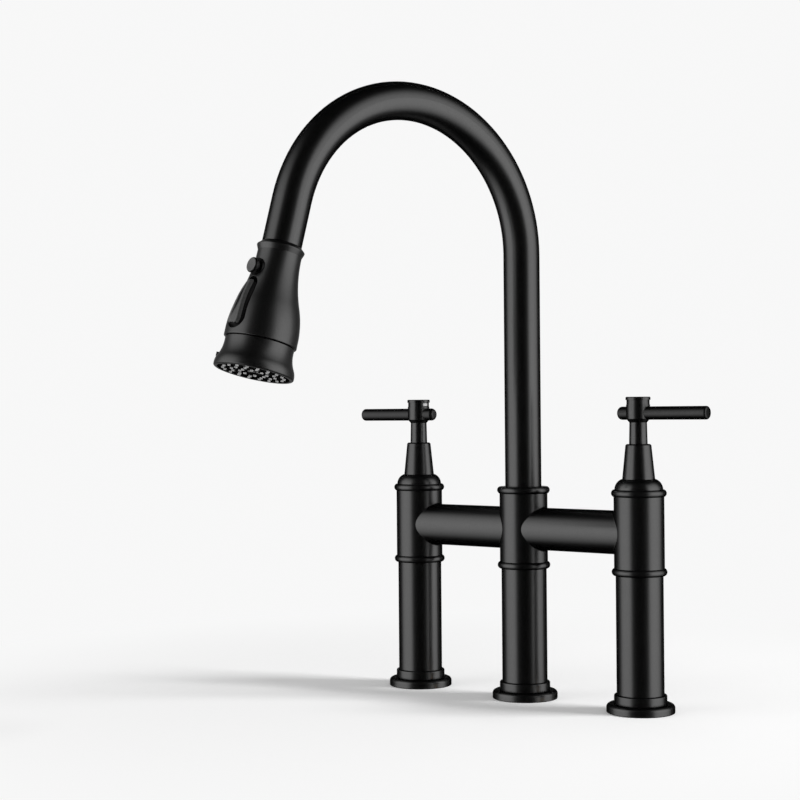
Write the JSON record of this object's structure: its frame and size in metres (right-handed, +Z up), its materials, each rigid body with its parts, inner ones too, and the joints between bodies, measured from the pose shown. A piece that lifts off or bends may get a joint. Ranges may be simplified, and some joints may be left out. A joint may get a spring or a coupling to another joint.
{
  "type": "bridge kitchen faucet",
  "caption": "Deck-mounted bridge kitchen faucet in satin black: posts joined by a bridge, high-arc swivel spout, pull-down spray head, quarter-turn T-bar levers.",
  "frame": {"origin": "centre of the middle post on the deck plane, where its flange and gasket rest", "axes": "+Z up along the middle post, +X along the bridge to the right-hand valve, -Y towards the person at the sink"},
  "size_m": [0.3172, 0.2856, 0.5241],
  "materials": {
    "satin_black_metal": "satin black powder coat on brass and steel",
    "head_shell_black": "satin black coated moulding, matched to the metal",
    "satin_black_plastic": "moulded black plastic, fine satin",
    "pale_silicone": "pale grey silicone",
    "acetal": "white engineering plastic",
    "brass": "machined brass",
    "steel": "zinc plated or stainless steel",
    "ceramic": "polished alumina, white",
    "black_rubber": "moulded black rubber",
    "hose_braid": "dark braided nylon over a rubber hose"
  },
  "bodies": {
    "root": {"left_base_flange": "satin_black_metal", "left_leg": "satin_black_metal", "left_upper_ring": "satin_black_metal", "left_shank": "brass", "centre_base_flange": "satin_black_metal", "centre_leg": "satin_black_metal", "centre_upper_ring": "satin_black_metal", "centre_shank": "brass", "right_base_flange": "satin_black_metal", "right_leg": "satin_black_metal", "right_upper_ring": "satin_black_metal", "right_shank": "brass", "lower_rings": "satin_black_metal", "left_valve_body": "satin_black_metal", "centre_body": "satin_black_metal", "right_valve_body": "satin_black_metal", "left_bridge_tube": "satin_black_metal", "right_bridge_tube": "satin_black_metal", "left_dome_cap": "satin_black_metal", "left_bonnet": "satin_black_metal", "right_dome_cap": "satin_black_metal", "right_bonnet": "satin_black_metal", "side_lock_nuts": "brass", "centre_lock_nut": "brass", "cartridge_bodies": "brass", "fixed_discs": "ceramic", "clamp_washers": "steel", "base_gaskets": "black_rubber", "rubber_washers": "black_rubber", "seat_seals": "black_rubber", "bridge_seals": "black_rubber", "spout_bushing": "acetal", "thrust_washer": "acetal", "hose_guide": "acetal"},
    "left_handle": {"left_handle_hub": "satin_black_metal", "left_index_cap": "satin_black_metal", "left_lever": "satin_black_metal", "left_stem": "brass", "left_grub_screw": "steel", "left_moving_disc": "ceramic"},
    "right_handle": {"right_handle_hub": "satin_black_metal", "right_index_cap": "satin_black_metal", "right_lever": "satin_black_metal", "right_stem": "brass", "right_grub_screw": "steel", "right_moving_disc": "ceramic"},
    "spout": {"spout_tube": "satin_black_metal", "mouth_insert": "acetal", "hose": "hose_braid"},
    "hose_end": {"hose_connector": "brass"},
    "spray_head": {"head_shell": "head_shell_black", "head_collar": "head_shell_black", "lower_skirt": "head_shell_black", "spray_face": "satin_black_plastic", "nozzle_mat": "pale_silicone", "diverter_body": "acetal", "button_bezel": "satin_black_plastic", "paddle_pin": "steel"},
    "button": {"pause_button": "satin_black_plastic"},
    "paddle": {"spray_paddle": "satin_black_plastic"}
  },
  "joints": [
    {"name": "left_handle_turn", "type": "hinge", "parent": "root", "child": "left_handle", "pos_m": [-0.1016, 0, 0.2], "axis": [0, 0, 1], "range_deg": [0, 90]},
    {"name": "right_handle_turn", "type": "hinge", "parent": "root", "child": "right_handle", "pos_m": [0.1016, 0, 0.2], "axis": [0, 0, -1], "range_deg": [0, 90]},
    {"name": "spout_swivel", "type": "hinge", "parent": "root", "child": "spout", "pos_m": [0, 0, 0.15], "axis": [0, 0, 1], "continuous": true},
    {"name": "head_pull", "type": "slide", "parent": "spout", "child": "hose_end", "axis": [-0.0638, -0.2508, -0.9659], "range_m": [0, 0.22], "deforming": ["hose"]},
    {"name": "head_turn", "type": "hinge", "parent": "hose_end", "child": "spray_head", "pos_m": [-0.05377, -0.21125, 0.3342], "axis": [-0.0638, -0.2508, -0.9659], "continuous": true},
    {"name": "button_press", "type": "slide", "parent": "spray_head", "child": "button", "axis": [0.1357, 0.9567, -0.2574], "range_m": [0, 0.002], "stiffness_N_per_m": 400, "springref_m": -0.002},
    {"name": "paddle_rock", "type": "hinge", "parent": "spray_head", "child": "paddle", "pos_m": [-0.05912, -0.23999, 0.29522], "axis": [0.9887, -0.1475, -0.0271], "range_deg": [0, 7]}
  ]
}
